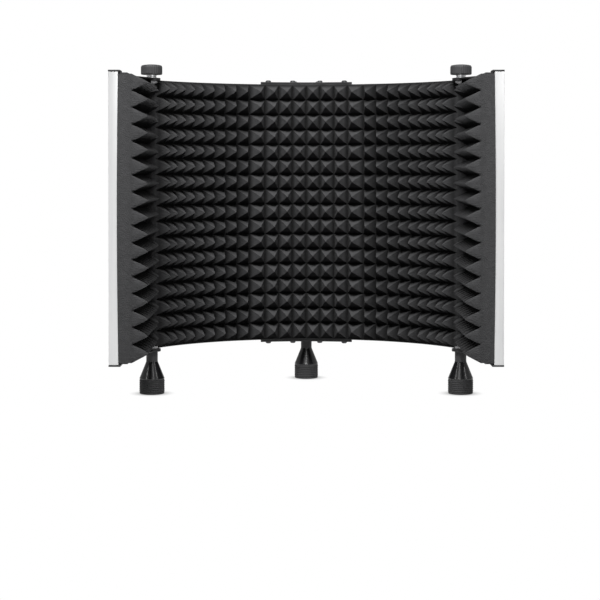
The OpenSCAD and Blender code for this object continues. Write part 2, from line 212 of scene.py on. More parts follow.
BLUNT_FROM = 0.93
BLUNT_SLOPE = 0.35
WANDER = 0.5 * MM
WANDER_SCALE = 90
CREASE = 0.0006
# Rises that set painted shade: the cut ends and the back are painted fully lit, the crease a little
# shaded, the hinge end of a scaled piece less shaded, and the side and wing pieces darker overall.
END_LIT_RISE = 0.6
CREASE_SHADE_RISE = 0.38
HINGE_END_LIT_RISE = 0.3
SIDE_LIT_SCALE = 0.5
WING_LIT_SCALE = 0.36


def row_lines():
    """The heights of the valleys between rows, with both cut edges."""
    pitch = (foam_high.z - foam_low.z - FIRST_ROW - LAST_ROW) / (ROWS - 2)
    inner = [foam_low.z + LAST_ROW + pitch * i for i in range(ROWS - 1)]
    return [foam_low.z, *inner, foam_high.z]


def sawn(lines, lead=0.0):
    """Samples between valley lines: where each one is, and how far it is through its pyramid."""
    samples = []
    for low, high in zip(lines, lines[1:]):
        first = round(lead * STEPS)
        for i in range(first, STEPS):
            samples.append((low + (high - low) * i / STEPS, i / STEPS))
        lead = 0.0
    samples.append((lines[-1], 1.0))
    return samples


def pyramid(u, v):
    """The rise of a blunt pyramid, as a share of its full height, u and v of the way over it."""
    rise = min(1 - abs(2 * u - 1), 1 - abs(2 * v - 1))
    if rise > BLUNT_FROM:
        rise = BLUNT_FROM + (rise - BLUNT_FROM) * BLUNT_SLOPE
    return rise


def foam_faces(columns, rows):
    """Faces over the points of the sawn face, then those of the back, then those of the crease."""
    wide, tall = len(columns), len(rows)
    back, foot = wide * tall, 2 * wide * tall
    faces = []
    for i in range(wide - 1):
        for j in range(tall - 1):
            a, b = i * tall + j, (i + 1) * tall + j
            c, d = b + 1, a + 1
            rising = (columns[i][1] < 0.5) == (rows[j][1] < 0.5)
            if rising:
                faces += [(a, b, c), (a, c, d)]
            else:
                faces += [(a, b, d), (b, c, d)]
            faces.append((back + a, back + d, back + c, back + b))
    for i in range(wide - 1):
        a, b = i * tall, (i + 1) * tall
        faces.append((a, back + a, back + b, b))
        a, b = a + tall - 1, b + tall - 1
        faces.append((a, b, back + b, back + a))
    for j in range(tall - 1):
        a = (wide - 1) * tall + j
        faces.append((a, back + a, back + a + 1, a + 1))
    for j in range(tall - 1):
        faces.append((foot + j, foot + j + 1, back + j + 1, back + j))
        faces.append((j, j + 1, foot + j + 1, foot + j))
    for j in (0, tall - 1):
        faces.append((j, foot + j, back + j))
    return faces


def face_outwards(mesh):
    bm = bmesh.new()
    bm.from_mesh(mesh)
    bmesh.ops.recalc_face_normals(bm, faces=bm.faces)
    bm.to_mesh(mesh)
    bm.free()


def foam_piece(name, columns, place, lit_scale=1.0, soft=None):
    """A closed solid: the sawn face, a flat back, and the cut edges between them.
    place(s, d, z) puts a point s along the piece and d proud of the base at height z.
    The end that starts the piece is creased along the foot of its pyramids. Every point keeps
    its share of a tooth's height as its rise, which sets how much shade is painted on it. The
    side and wing pieces have their rises scaled down, so they are painted darker, and the ends,
    the back and the crease get set rises of painted light and shade."""
    rows = sawn(row_lines())
    verts, lit_rises = [], []
    for s, u in columns:
        for z, v in rows:
            share = pyramid(u, v)
            lit_rises.append(share * lit_scale)
            p = place(s, TOOTH * share, z)
            wander = noise.noise(Vector([c * WANDER_SCALE for c in p])) * WANDER
            verts.append(place(s, TOOTH * share + wander * min(1, share * 3), z))
    verts += [place(s, -FOAM_BASE, z) for s, _ in columns for z, _ in rows]
    verts += [place(columns[0][0] - CREASE, 0, z) for z, _ in rows]
    mesh = bpy.data.meshes.new(name)
    mesh.from_pydata(verts, [], foam_faces(columns, rows))
    tall = len(rows)
    # Painted light and shade: the hinge end of a scaled piece is painted less shaded, a cut first
    # column and the back fully lit, and the crease a little shaded.
    if lit_scale < 1:
        lit_rises[-tall:] = [max(r, HINGE_END_LIT_RISE) for r in lit_rises[-tall:]]
    if columns[0][1] > 0:
        lit_rises[:tall] = [END_LIT_RISE] * tall
    lit_rises += [END_LIT_RISE] * (len(verts) - len(lit_rises) - tall) + [CREASE_SHADE_RISE] * tall
    mesh.attributes.new("rise", "FLOAT", "POINT").data.foreach_set("value", lit_rises)
    if soft:
        for vert in mesh.vertices:
            vert.co = soft(vert.co)
    face_outwards(mesh)
    return put_in_scene(name, mesh)


def on_shell(sign=1):
    """s is an angle from the middle of the shell, and d is measured towards its centre."""
    def place(s, d, z):
        r = FACE_R - d
        return (sign * r * math.sin(s), arc_y + r * math.cos(s), z)
    return place


def on_wing(sign):
    """s runs back along the wing, and d is measured away from its panel."""
    def place(s, d, z):
        return (sign * (wing_face_x - d), s, z)
    return place


def node_group(name, inputs, outputs):
    """An empty shader group, with number inputs given by name and default, and its outputs."""
    group = bpy.data.node_groups.new(name, "ShaderNodeTree")
    for label, value in inputs.items():
        socket = group.interface.new_socket(label, in_out="INPUT", socket_type="NodeSocketFloat")
        socket.default_value = value
    for label in outputs:
        group.interface.new_socket(label, in_out="OUTPUT", socket_type="NodeSocketFloat")
    return group, group.nodes.new("NodeGroupInput"), group.nodes.new("NodeGroupOutput")


def math_node(tree, kind, a, b=None, clamp=False):
    node = tree.nodes.new("ShaderNodeMath")
    node.operation = kind
    node.use_clamp = clamp
    for socket, value in zip(node.inputs, (a, b)):
        if value is None:
            continue
        if isinstance(value, (int, float)):
            socket.default_value = value
        else:
            tree.links.new(value, socket)
    return node.outputs[0]


def mixed(tree, a, share, b):
    """Share of a, and the rest of b."""
    parts = [math_node(tree, "MULTIPLY", a, share), math_node(tree, "MULTIPLY", b, 1 - share)]
    return math_node(tree, "ADD", *parts)


def noise_node(tree, coord, scale, detail, rough):
    node = tree.nodes.new("ShaderNodeTexNoise")
    node.inputs["Detail"].default_value = detail
    node.inputs["Roughness"].default_value = rough
    if isinstance(scale, (int, float)):
        node.inputs["Scale"].default_value = scale
    else:
        tree.links.new(scale, node.inputs["Scale"])
    tree.links.new(coord, node.inputs["Vector"])
    return node.outputs["Fac"]


def own_place(tree):
    """Coordinates that stay with a piece when it moves."""
    return tree.nodes.new("ShaderNodeTexCoord").outputs["Object"]


def cut_cells_group():
    """The grain of sawn open-cell foam: fine pores, and the soft mottling of larger tufts."""
    group, given, out = node_group(
        "cut_cells", {"Pore Scale": 900.0, "Tuft Scale": 140.0, "Pore Depth": 0.6}, ("Height", "Tone")
    )
    coord = own_place(group)
    pores = group.nodes.new("ShaderNodeTexVoronoi")
    pores.feature = "F1"
    group.links.new(coord, pores.inputs["Vector"])
    group.links.new(given.outputs["Pore Scale"], pores.inputs["Scale"])
    tufts = noise_node(group, coord, given.outputs["Tuft Scale"], 3.0, 0.6)
    fine = noise_node(group, coord, given.outputs["Pore Scale"], 1.0, 0.5)
    deep = math_node(group, "MULTIPLY", pores.outputs["Distance"], given.outputs["Pore Depth"])
    height = math_node(group, "ADD", deep, tufts)
    group.links.new(height, out.inputs["Height"])
    group.links.new(mixed(group, fine, 0.45, tufts), out.inputs["Tone"])
    return group


def dust_group():
    """Fine dust that settles on faces that look up, broken into patches."""
    group, given, out = node_group("settled_dust", {"Amount": 0.3, "Patch Scale": 40.0}, ("Mask",))
    geometry = group.nodes.new("ShaderNodeNewGeometry")
    split = group.nodes.new("ShaderNodeSeparateXYZ")
    group.links.new(geometry.outputs["Normal"], split.inputs[0])
    coord = own_place(group)
    patches = noise_node(group, coord, given.outputs["Patch Scale"], 4.0, 0.6)
    up = math_node(group, "SUBTRACT", split.outputs["Z"], 0.2, clamp=True)
    patchy = math_node(group, "MULTIPLY", up, patches)
    mask = math_node(group, "MULTIPLY", patchy, given.outputs["Amount"], clamp=True)
    group.links.new(mask, out.inputs["Mask"])
    return group


def painted_valley_shade_group():
    """Painted shade for the sawn face, read from the rise: darkest in the valleys, none from half
    height to the tips.
    """
    group, given, out = node_group("painted_valley_shade", {"Valley": 0.22, "Slope End": 0.5}, ("Painted Light",))
    rise = group.nodes.new("ShaderNodeAttribute")
    rise.attribute_name = "rise"
    valley_shading = group.nodes.new("ShaderNodeMapRange")
    valley_shading.interpolation_type = "SMOOTHSTEP"
    group.links.new(rise.outputs["Fac"], valley_shading.inputs["Value"])
    group.links.new(given.outputs["Slope End"], valley_shading.inputs["From Max"])
    group.links.new(given.outputs["Valley"], valley_shading.inputs["To Min"])
    group.links.new(valley_shading.outputs["Result"], out.inputs["Painted Light"])
    return group


def use_group(tree, group, **values):
    """The group as a node in a material, with its inputs set by name."""
    node = tree.nodes.new("ShaderNodeGroup")
    node.node_tree = group
    for label, value in values.items():
        node.inputs[label.replace("_", " ")].default_value = value
    return node


COLOUR_A, COLOUR_B, COLOUR_RESULT = 6, 7, 2


def blend_colours(tree, mask, low, high):
    """Colour low where the mask is 0, and high where it is 1. Either may be a socket."""
    node = tree.nodes.new("ShaderNodeMix")
    node.data_type = "RGBA"
    tree.links.new(mask, node.inputs["Factor"])
    for index, value in ((COLOUR_A, low), (COLOUR_B, high)):
        if isinstance(value, tuple):
            node.inputs[index].default_value = (*value, 1)
        else:
            tree.links.new(value, node.inputs[index])
    return node.outputs[COLOUR_RESULT]


def bump(tree, height, strength, distance):
    node = tree.nodes.new("ShaderNodeBump")
    node.inputs["Strength"].default_value = strength
    node.inputs["Distance"].default_value = distance
    tree.links.new(height, node.inputs["Height"])
    return node.outputs["Normal"]


def ranged(tree, value, low, high):
    node = tree.nodes.new("ShaderNodeMapRange")
    node.inputs["To Min"].default_value = low
    node.inputs["To Max"].default_value = high
    tree.links.new(value, node.inputs["Value"])
    return node.outputs["Result"]


def new_material(name, **settings):
    """A material with a Principled shader, its constant settings given by socket name."""
    material = bpy.data.materials.new(name)
    material.use_nodes = True
    shader = material.node_tree.nodes["Principled BSDF"]
    for label, value in settings.items():
        shader.inputs[label.replace("_", " ")].default_value = value
    return material, material.node_tree, shader


def layer(tree, under, colour, group, **values):
    """Colour laid over what is under it, as far as the group's mask says."""
    return blend_colours(tree, use_group(tree, group, **values).outputs["Mask"], under, colour)


def link_surface(tree, shader, colour, grain, rough, relief):
    """Links a colour, with a grain group's tone as roughness from low to high, and its height as
    relief of a strength and a distance."""
    tree.links.new(colour, shader.inputs["Base Color"])
    tree.links.new(ranged(tree, grain.outputs["Tone"], *rough), shader.inputs["Roughness"])
    tree.links.new(bump(tree, grain.outputs["Height"], *relief), shader.inputs["Normal"])


CUT_CELLS = cut_cells_group()
DUST = dust_group()
PAINTED_VALLEY_SHADE = painted_valley_shade_group()


def foam_material():
    material, tree, shader = new_material(
        "charcoal_foam", Sheen_Weight=0.03, Sheen_Roughness=0.6, Specular_IOR_Level=0.02
    )
    cells = use_group(tree, CUT_CELLS, Pore_Scale=820.0, Tuft_Scale=150.0, Pore_Depth=0.7)
    base = blend_colours(tree, cells.outputs["Tone"], (0.046, 0.046, 0.048), (0.125, 0.125, 0.128))
    dusty = layer(tree, base, (0.22, 0.22, 0.22), DUST, Amount=0.10, Patch_Scale=30.0)
    # Painted shade: the colour falls almost to black in the valleys and stays full towards the tips.
    painted_light = use_group(tree, PAINTED_VALLEY_SHADE).outputs["Painted Light"]
    colour = blend_colours(tree, painted_light, (0.004, 0.004, 0.004), dusty)
    link_surface(tree, shader, colour, cells, (0.88, 1.0), (0.55, 0.0012))
    return material


FOAM = foam_material()


def finish_piece(piece, body, material, node):
    """What every new piece needs: its finish, the body it rides on and the node it stands for."""
    piece.data.materials.clear()
    piece.data.materials.append(material)
    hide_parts(node)
    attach(piece, body)


def finish_foam(piece, body, node):
    finish_piece(piece, body, FOAM, node)


def middle_columns():
    inner = [MIDDLE_COLUMN * (i - MIDDLE_VALLEYS // 2) for i in range(MIDDLE_VALLEYS)]
    edge = SEAM_ANGLE - SEAM_GAP
    return sawn([-edge, *inner, edge])


def side_columns():
    first = SEAM_ANGLE + SEAM_GAP
    valleys = [first + SIDE_COLUMN * i for i in range(SIDE_VALLEYS)]
    return sawn([*valleys, HINGE_ANGLE - HINGE_RELIEF])


def wing_columns():
    """The free end of a wing cuts its first column in half."""
    first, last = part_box("right_wing_foam")[0].y, hinge_y - WING_END_GAP
    pitch = (last - first) / (WING_VALLEYS + 0.5)
    return sawn([first - pitch / 2 + pitch * i for i in range(WING_VALLEYS + 2)], lead=0.5)


def swell(sign):
    """The free end of a wing's foam swells past its edge strip, and the hinge end is drawn in."""
    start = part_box("right_wing_foam")[0].y
    lip, bulge, spread, lip_depth = 1.2 * MM, 1.0 * MM, 1.3 * MM, 2.0 * MM
    drawn_in, taper = 0.03, 8.0 * MM

    def soft(p):
        across = abs(p.z - mid_z) / ((foam_high.z - foam_low.z) / 2)
        out = max(0.0, 1 - across ** 2)
        near = max(0.0, 1 - (p.y - start) / lip_depth)
        behind = max(0.0, min(1.0, (abs(p.x) - wing_face_x) / FOAM_BASE))
        far = max(0.0, min(1.0, (p.y - hinge_y) / taper + 2))
        x = p.x + sign * spread * out * near * behind
        y = p.y - (lip + bulge * out) * near
        z = mid_z + (p.z - mid_z) * (1 - drawn_in * far)
        return Vector((x, y, z))
    return soft


def make_foam():
    piece = foam_piece("middle_foam", middle_columns(), on_shell())
    finish_foam(piece, "shield", "foam_centre")
    for side in SIDES:
        sign = SIGN[side]
        piece = foam_piece(side + "_shell_foam", side_columns(), on_shell(sign), SIDE_LIT_SCALE)
        finish_foam(piece, "shield", "foam_" + side)
        name = side + "_wing_pyramids"
        piece = foam_piece(name, wing_columns(), on_wing(sign), WING_LIT_SCALE, swell(sign))
        finish_foam(piece, side + "_wing", side + "_wing_foam")
        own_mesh(piece)


make_foam()

# ------------------------------
# Perforated panels. Steel sheet 1.2 mm thick, punched with staggered round holes inside a plain
# border, powder-coated black, and rolled to the curve of the shell or left flat on the wings.
# ------------------------------
HOLE_R = 0.00265
HOLE_PITCH = 0.009
HOLE_ROW = 0.0078
BORDER = 0.014
MICRONS = 1e6
SHARP_FROM = 0.53
SHARP_GAIN = 9.0


def orange_peel_group():
    """The fine orange-peel of a powder coat, and the slow drift of its tone."""
    group, given, out = node_group(
        "powder_coat", {"Grain Scale": 900.0, "Drift Scale": 12.0}, ("Height", "Tone")
    )
    coord = own_place(group)
    grain = noise_node(group, coord, given.outputs["Grain Scale"], 2.0, 0.55)
    drift = noise_node(group, coord, given.outputs["Drift Scale"], 4.0, 0.6)
    group.links.new(grain, out.inputs["Height"])
    group.links.new(mixed(group, drift, 0.7, grain), out.inputs["Tone"])
    return group


def worn_edge_group():
    """Where a coat is rubbed thin: the sharpest edges, broken up by noise."""
    group, given, out = node_group("worn_edges", {"Amount": 0.5, "Break Scale": 260.0}, ("Mask",))
    geometry = group.nodes.new("ShaderNodeNewGeometry")
    coord = own_place(group)
    broken = noise_node(group, coord, given.outputs["Break Scale"], 5.0, 0.7)
    sharp = math_node(group, "SUBTRACT", geometry.outputs["Pointiness"], SHARP_FROM, clamp=True)
    strong = math_node(group, "MULTIPLY", sharp, SHARP_GAIN, clamp=True)
    patchy = math_node(group, "MULTIPLY", strong, broken)
    mask = math_node(group, "MULTIPLY", patchy, given.outputs["Amount"], clamp=True)
    group.links.new(mask, out.inputs["Mask"])
    return group


POWDER = orange_peel_group()
WORN = worn_edge_group()


def coated_material(name, dark, light, wear, grain):
    """Powder-coated steel, rubbed a little paler at its edges, with dust on top."""
    material, tree, shader = new_material(name, Specular_IOR_Level=0.42)
    coat = use_group(tree, POWDER, Grain_Scale=grain, Drift_Scale=14.0)
    base = blend_colours(tree, coat.outputs["Tone"], dark, light)
    rubbed = layer(tree, base, (0.16, 0.16, 0.165), WORN, Amount=wear, Break_Scale=300.0)
    dusty = layer(tree, rubbed, (0.2, 0.2, 0.2), DUST, Amount=0.10, Patch_Scale=24.0)
    link_surface(tree, shader, dusty, coat, (0.36, 0.52), (0.25, 0.0004))
    return material


PERFORATED = coated_material(
    "perforated_coat", (0.012, 0.012, 0.013), (0.026, 0.026, 0.027), wear=0.35, grain=1100.0
)


def punched_sheet(name, length, height, place):
    """A flat grid of half cells, one hole in every two, offset by a half cell from row to row.
    place(s, t, z) rolls it to its real shape, with t through its thickness."""
    halves = int((length - 2 * BORDER) / HOLE_PITCH) * 2 + 1
    rows = int((height - 2 * BORDER) / HOLE_ROW)
    half = (length - 2 * BORDER) / halves
    tall = (height - 2 * BORDER) / rows
    left, low = -length / 2 + BORDER, -height / 2 + BORDER
    points, faces = {}, []

    def at(s, z, t):
        key = (round(s * MICRONS), round(z * MICRONS), t)
        return points.setdefault(key, len(points))

    def both(flat):
        """One face on the inside of the sheet, and its twin on the outside."""
        faces.append([at(s, z, 0) for s, z in flat])
        faces.append([at(s, z, 1) for s, z in reversed(flat)])

    def edge(flat):
        """Walls through the sheet along a run of points."""
        for a, b in zip(flat, flat[1:]):
            faces.append([at(*a, 0), at(*a, 1), at(*b, 1), at(*b, 0)])

    def punched(s0, z0):
        cs, cz = s0 + half, z0 + tall / 2
        outer = [(cs + half * x, cz + tall / 2 * z) for x, z in
                 ((1, 0), (1, 1), (0, 1), (-1, 1), (-1, 0), (-1, -1), (0, -1), (1, -1))]
        angles = [math.atan2(z - cz, s - cs) for s, z in outer]
        hole = []
        for k, a in enumerate(angles):
            halfway = a + (angles[(k + 1) % 8] - a) % math.tau / 2
            for b in (a, halfway):
                hole.append((cs + HOLE_R * math.cos(b), cz + HOLE_R * math.sin(b)))
        for k in range(8):
            inner = [hole[(2 * k + 2) % 16], hole[2 * k + 1], hole[2 * k]]
            both([outer[k], outer[(k + 1) % 8], *inner])
        edge([*hole, hole[0]])

    for r in range(rows):
        z0 = low + r * tall
        start = r % 2
        for c in range(start, halves - 1, 2):
            punched(left + c * half, z0)
        spare = 0 if start else halves - 1
        s0, s1 = left + spare * half, left + (spare + 1) * half
        z1, zm = z0 + tall, z0 + tall / 2
        both([(s0, z0), (s1, z0), (s1, zm), (s1, z1), (s0, z1), (s0, zm)])
    steps = [left + c * half for c in range(halves + 1)]
    levels = [low + tall / 2 * k for k in range(2 * rows + 1)]
    ends_s, ends_z = (-length / 2, length / 2), (-height / 2, height / 2)
    for s0, s1 in zip(steps, steps[1:]):
        both([(s0, ends_z[0]), (s1, ends_z[0]), (s1, low), (s0, low)])
        both([(s0, -low), (s1, -low), (s1, ends_z[1]), (s0, ends_z[1])])
        edge([(s1, ends_z[0]), (s0, ends_z[0])])
        edge([(s0, ends_z[1]), (s1, ends_z[1])])
    for z0, z1 in zip([ends_z[0], *levels], [*levels, ends_z[1]]):
        both([(ends_s[0], z0), (left, z0), (left, z1), (ends_s[0], z1)])
        both([(-left, z0), (ends_s[1], z0), (ends_s[1], z1), (-left, z1)])
        edge([(ends_s[0], z0), (ends_s[0], z1)])
        edge([(ends_s[1], z1), (ends_s[1], z0)])
    mesh = bpy.data.meshes.new(name)
    verts = [place(s / MICRONS, t * SHEET, z / MICRONS) for s, z, t in points]
    mesh.from_pydata(verts, [], faces)
    face_outwards(mesh)
    return put_in_scene(name, mesh)


def make_panels():
    angle = math.asin(shell_high.x / (BACK_R + SHEET))
    height = shell_high.z - shell_low.z

    def rolled(s, t, z):
        a, r = s / BACK_R, BACK_R + t
        return (r * math.sin(a), arc_y + r * math.cos(a), mid_z + z)

    shell = punched_sheet("perforated_shell", 2 * angle * BACK_R, height, rolled)
    finish_piece(shell, "shield", PERFORATED, "back_panel")
    for side in SIDES:
        low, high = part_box(side + "_wing_panel")
        middle = (low.y + high.y) / 2
        inner = min(abs(low.x), abs(high.x))

        def flat(s, t, z):
            return (SIGN[side] * (inner + t), middle + s, mid_z + z)

        panel = punched_sheet(side + "_perforated_wing", high.y - low.y, height, flat)
        finish_piece(panel, side + "_wing", PERFORATED, side + "_wing_panel")


make_panels()

# ------------------------------
# Rails, hinge plates, middle plates and the rear spine. Folded and cut steel, powder-coated
# black. Each keeps its engineered shape, with the small broken edges that the press and the
# coat leave on it.
# ------------------------------
COATED = coated_material(
    "black_coat", (0.010, 0.010, 0.011), (0.024, 0.024, 0.025), wear=0.6, grain=700.0
)
PRESSED_EDGE = 0.25 * MM
WELD = 1e-6


def broken_edges(node, name, width, segments=2, sharp=35):
    """A piece with a CAD node's own shape, its sharp edges rounded by width."""
    piece = put_in_scene(name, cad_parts[node].data.copy())
    bm = bmesh.new()
    bm.from_mesh(piece.data)
    bmesh.ops.remove_doubles(bm, verts=bm.verts, dist=WELD)
    bmesh.ops.dissolve_limit(bm, angle_limit=math.radians(1), verts=bm.verts, edges=bm.edges)
    bm.to_mesh(piece.data)
    bm.free()
    for polygon in piece.data.polygons:
        polygon.use_smooth = True
    bevel = piece.modifiers.new("broken_edges", "BEVEL")
    bevel.width = width
    bevel.segments = segments
    bevel.limit_method = "ANGLE"
    bevel.angle_limit = math.radians(sharp)
    bevel.harden_normals = True
    bpy.context.view_layer.update()
    shaped = piece.evaluated_get(bpy.context.evaluated_depsgraph_get())
    mesh = bpy.data.meshes.new_from_object(shaped)
    piece.modifiers.clear()
    piece.data = mesh
    return piece


def make_steelwork():
    shell_parts = ("top_rail", "bottom_rail", "top_plate", "bottom_plate", "rear_spine")
    for node in shell_parts:
        piece = broken_edges(node, node + "_steel", PRESSED_EDGE)
        finish_piece(piece, "shield", COATED, node)
    for side in SIDES:
        for part in ("wing_top_rail", "wing_bottom_rail", "top_hinge_plate", "bottom_hinge_plate"):
            node = side + "_" + part
            piece = broken_edges(node, node + "_steel", PRESSED_EDGE)
            finish_piece(piece, side + "_wing", COATED, node)


make_steelwork()

# ------------------------------
# Rivets and M4 bolts. Domed steel rivets hold the panels to their rails, and pan-head bolts with
# a hexagon socket hold the middle plates and the spine. All are blackened with the steelwork.
# ------------------------------
RIVET_EDGE = 0.12 * MM
BOLT_HEAD = 2.2 * MM
M4_R = 2 * MM
UP = Vector((0, 0, 1))


def hardware_material():
    material, tree, shader = new_material("blackened_steel", Metallic=0.85)
    coat = use_group(tree, POWDER, Grain_Scale=1600.0, Drift_Scale=90.0)
    base = blend_colours(tree, coat.outputs["Tone"], (0.03, 0.03, 0.032), (0.075, 0.075, 0.078))
    rubbed = layer(tree, base, (0.4, 0.4, 0.41), WORN, Amount=0.8, Break_Scale=500.0)
    link_surface(tree, shader, rubbed, coat, (0.3, 0.5), (0.15, 0.0003))
    return material


BLACKENED = hardware_material()


def make_small_hardware():
    piece = broken_edges("rail_rivets", "shell_rivet_row", RIVET_EDGE, sharp=50)
    finish_piece(piece, "shield", BLACKENED, "rail_rivets")
    for side in SIDES:
        piece = broken_edges(side + "_wing_rivets", side + "_wing_rivet_row", RIVET_EDGE, sharp=50)
        finish_piece(piece, side + "_wing", BLACKENED, side + "_wing_rivets")


make_small_hardware()


def lathe(bm, profile, axis_point, up, segments, flute=None):
    """Turns (radius, height) points round an axis. flute(angle, radius, height) may move one."""
    turn = up.normalized().to_track_quat("Z", "Y").to_matrix()
    rings = []
    for r, h in profile:
        if r == 0:
            rings.append([bm.verts.new(axis_point + turn @ Vector((0, 0, h)))])
            continue
        ring = []
        for i in range(segments):
            a = math.tau * i / segments
            rr = flute(a, r, h) if flute else r
            spoke = Vector((rr * math.cos(a), rr * math.sin(a), h))
            ring.append(bm.verts.new(axis_point + turn @ spoke))
        rings.append(ring)
    for low, high in zip(rings, rings[1:]):
        for i in range(segments):
            j = (i + 1) % segments
            if len(low) == 1 and len(high) > 1:
                bm.faces.new((low[0], high[j], high[i]))
            elif len(high) == 1 and len(low) > 1:
                bm.faces.new((low[i], low[j], high[0]))
            elif len(low) > 1:
                bm.faces.new((low[i], low[j], high[j], high[i]))


def rounded(corners, radius, steps=4):
    """Rounds the inner corners of an open profile with arcs of about the radius given."""
    out = [corners[0]]
    for before, corner, after in zip(corners, corners[1:], corners[2:]):
        b, c, a = Vector(before), Vector(corner), Vector(after)
        reach = min(radius, (b - c).length * 0.45, (a - c).length * 0.45)
        p, q = c + (b - c).normalized() * reach, c + (a - c).normalized() * reach
        for i in range(steps + 1):
            t = i / steps
            out.append(tuple(p.lerp(c, t).lerp(c.lerp(q, t), t)))
    out.append(corners[-1])
    return out


def solid(name, build, smooth=40):
    """A new piece made by build(bm), shaded smooth except over edges sharper than smooth."""
    bm = bmesh.new()
    build(bm)
    bmesh.ops.remove_doubles(bm, verts=bm.verts, dist=WELD / 10)
    bmesh.ops.recalc_face_normals(bm, faces=bm.faces)
    for face in bm.faces:
        face.smooth = True
    for edge in bm.edges:
        if len(edge.link_faces) == 2 and edge.calc_face_angle() > math.radians(smooth):
            edge.smooth = False
    mesh = bpy.data.meshes.new(name)
    bm.to_mesh(mesh)
    bm.free()
    return put_in_scene(name, mesh)


def hexagon(a, flat):
    """How far the side of a hexagon is from its middle at angle a. flat is half its width."""
    return flat / math.cos((a + math.radians(30)) % math.radians(60) - math.radians(30))


def pan_head(bm, place, up, height, tip):
    """A bolt from tip below the head's seat, with a hexagon socket sunk in a low dome."""
    wide, socket_r, deep = 3.5 * MM, 1.35 * MM, 1.5 * MM
    shank = [(0, -tip), (1.6 * MM, -tip), (M4_R, -tip + 0.5 * MM), (M4_R, 0), (wide, 0)]
    dome = [
        (wide, 0.5 * MM), (3.3 * MM, 1.2 * MM), (2.8 * MM, height * 0.86), (2.0 * MM, height),
        (1.45 * MM, height),
    ]
    socket = [(socket_r, height - 0.15 * MM), (socket_r, height - 1.3 * MM), (0, height - deep)]

    def flute(a, r, h):
        in_socket = h > 0 and r < 1.4 * MM
        return hexagon(a, r * math.cos(math.radians(30))) if in_socket else r
    lathe(bm, shank + dome + socket, place, up, 36, flute)


def islands(node):
    """The box of each separate solid in a CAD node, in a fixed order."""
    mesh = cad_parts[node].data
    bm = bmesh.new()
    bm.from_mesh(mesh)
    bmesh.ops.remove_doubles(bm, verts=bm.verts, dist=WELD)
    seen, boxes = set(), []
    for vert in bm.verts:
        if vert in seen:
            continue
        stack, low, high = [vert], Vector(vert.co), Vector(vert.co)
        seen.add(vert)
        while stack:
            v = stack.pop()
            low, high = Vector(map(min, low, v.co)), Vector(map(max, high, v.co))
            for edge in v.link_edges:
                other = edge.other_vert(v)
                if other not in seen:
                    seen.add(other)
                    stack.append(other)
        boxes.append((low, high))
    bm.free()
    return sorted(boxes, key=lambda b: tuple(round(c, 5) for c in (*b[0], *b[1])))


def make_plate_bolts():
    def build(bm):
        for low, high in islands("plate_bolts"):
            seat = (low + high) / 2
            up = 1 if seat.z > mid_z else -1
            seat.z = (high.z if up > 0 else low.z) - up * BOLT_HEAD
            pan_head(bm, seat, Vector((0, 0, up)), BOLT_HEAD, high.z - low.z - BOLT_HEAD)

    piece = solid("plate_and_spine_bolts", build)
    finish_piece(piece, "shield", BLACKENED, "plate_bolts")


make_plate_bolts()

# ------------------------------
# Nuts, studs and collars. Zinc-plated steel: thin M4 nuts under the plates, M8 nuts at the
# hinges, the M8 bolts and studs with their rolled threads, and the bright collars of the knobs.
# ------------------------------
M8_R = 4 * MM
M8_BORE_R = 4.06 * MM
M8_PITCH = 1.25 * MM


def turned_lines_group():
    """Fine lathe or draw lines along one axis, with a slow drift of tone."""
    group, given, out = node_group(
        "tool_lines", {"Line Scale": 1400.0, "Stretch": 0.02, "Drift Scale": 60.0}, ("Height", "Tone")
    )
    coord = own_place(group)
    squash = group.nodes.new("ShaderNodeCombineXYZ")
    squash.inputs["X"].default_value = 1.0
    squash.inputs["Y"].default_value = 1.0
    group.links.new(given.outputs["Stretch"], squash.inputs["Z"])
    stretched = group.nodes.new("ShaderNodeVectorMath")
    stretched.operation = "MULTIPLY"
    group.links.new(coord, stretched.inputs[0])
    group.links.new(squash.outputs[0], stretched.inputs[1])
    lines = noise_node(group, stretched.outputs[0], given.outputs["Line Scale"], 3.0, 0.6)
    drift = noise_node(group, coord, given.outputs["Drift Scale"], 3.0, 0.5)
    group.links.new(lines, out.inputs["Height"])
    both = math_node(group, "ADD", lines, drift)
    group.links.new(math_node(group, "MULTIPLY", both, 0.5), out.inputs["Tone"])
    return group


TOOL_LINES = turned_lines_group()


def zinc_material(name, dark, light, rough, line_scale):
    material, tree, shader = new_material(name, Metallic=1.0)
    lines = use_group(tree, TOOL_LINES, Line_Scale=line_scale, Stretch=3.0, Drift_Scale=120.0)
    base = blend_colours(tree, lines.outputs["Tone"], dark, light)
    link_surface(tree, shader, base, lines, rough, (0.12, 0.0002))
    return material


# Partly a dull, dark plate and partly painted shade: the plated parts are coloured far darker than
# bright plating, so that the hinge nuts read as in shadow.
DULL_AND_SHADED_ZINC = zinc_material("dull_and_shaded_zinc", (0.16, 0.16, 0.17), (0.36, 0.36, 0.36), (0.24, 0.42), 700.0)
BRIGHT = zinc_material("bright_zinc", (0.74, 0.75, 0.77), (0.92, 0.92, 0.92), (0.12, 0.26), 500.0)


def hex_nut(bm, low, high, across, bore):
    """A nut with chamfered corners, standing along Z between two heights."""
    flat, depth = across / 2, high.z - low.z
    corner = flat / math.cos(math.radians(30))
    chamfer = (corner - flat) * 0.495
    foot, top = -depth / 2, depth / 2
    lead_in = bore * 0.1

    def hexed(a, r, h):
        return r if r <= bore + 2 * lead_in else min(r, hexagon(a, flat))
    profile = [
        (bore + lead_in, foot), (flat * 0.97, foot), (corner, foot + chamfer), (corner, top - chamfer),
        (flat * 0.97, top), (bore + lead_in, top), (bore, top - lead_in), (bore, foot + lead_in),
        (bore + lead_in, foot),
    ]
    lathe(bm, profile, (low + high) / 2, UP, 72, hexed)


